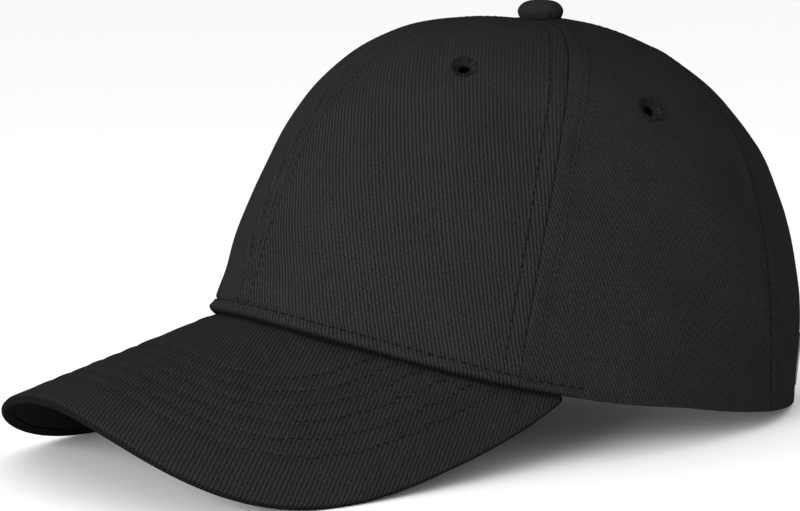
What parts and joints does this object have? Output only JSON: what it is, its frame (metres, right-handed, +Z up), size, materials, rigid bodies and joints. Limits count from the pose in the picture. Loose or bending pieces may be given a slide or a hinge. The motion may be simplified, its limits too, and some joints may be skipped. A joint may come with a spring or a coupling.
{
  "type": "baseball cap",
  "caption": "Structured panelled cotton cap with a curved stiff visor, covered button, stitched eyelets and an adjustable rear strap with a cam buckle.",
  "frame": {"origin": "centre of the whole cap seen from above, on the surface it stands on", "axes": "+X towards the wearer's left, -Y towards the visor, +Z up"},
  "size_m": [0.1674, 0.2934, 0.1461],
  "materials": {
    "crown_twill": "matt cotton twill",
    "visor_twill": "matt cotton twill",
    "under_visor_twill": "matt cotton twill",
    "strap_twill": "matt cotton twill",
    "eyelet_thread": "satin embroidery thread",
    "seam_tape": "plain woven tape",
    "buckram": "stiffened open-weave cotton",
    "sweatband_cotton": "brushed cotton",
    "padding_felt": "non-woven felt",
    "visor_board": "moulded sheet",
    "button_tin": "pressed sheet",
    "buckle_metal": "dark antique nickel",
    "pin_steel": "drawn wire",
    "label_cloth": "blank woven label"
  },
  "bodies": {
    "cap": {"back_panel_left": "crown_twill", "back_panel_right": "crown_twill", "buckle_frame": "buckle_metal", "buckle_pin": "pin_steel", "buckle_tab": "strap_twill", "buckram_left": "buckram", "buckram_right": "buckram", "button_cover": "crown_twill", "button_rivet": "button_tin", "button_shell": "button_tin", "care_label": "label_cloth", "eyelet_back_left": "eyelet_thread", "eyelet_back_right": "eyelet_thread", "eyelet_front_left": "eyelet_thread", "eyelet_front_right": "eyelet_thread", "eyelet_side_left": "eyelet_thread", "eyelet_side_right": "eyelet_thread", "front_panel_left": "crown_twill", "front_panel_right": "crown_twill", "rear_arch_binding": "seam_tape", "seam_tape_back": "seam_tape", "seam_tape_back_left": "seam_tape", "seam_tape_back_right": "seam_tape", "seam_tape_front": "seam_tape", "seam_tape_front_left": "seam_tape", "seam_tape_front_right": "seam_tape", "side_panel_left": "crown_twill", "side_panel_right": "crown_twill", "sweatband": "sweatband_cotton", "sweatband_padding": "padding_felt", "visor_board": "visor_board", "visor_top_cover": "visor_twill", "visor_under_cover": "under_visor_twill"},
    "strap": {"closure_strap": "strap_twill"},
    "lever": {"buckle_lever": "buckle_metal"}
  },
  "joints": [
    {"name": "strap_slide", "type": "hinge", "parent": "cap", "child": "strap", "pos_m": [0, 0.06641, 0.01546], "axis": [0, -0.1571, -0.9876], "range_deg": [-10, 9]},
    {"name": "buckle_lever_hinge", "type": "hinge", "parent": "cap", "child": "lever", "pos_m": [0.02384, 0.14051, 0.00367], "axis": [0, 0.1571, 0.9876], "range_deg": [0, 110]}
  ]
}
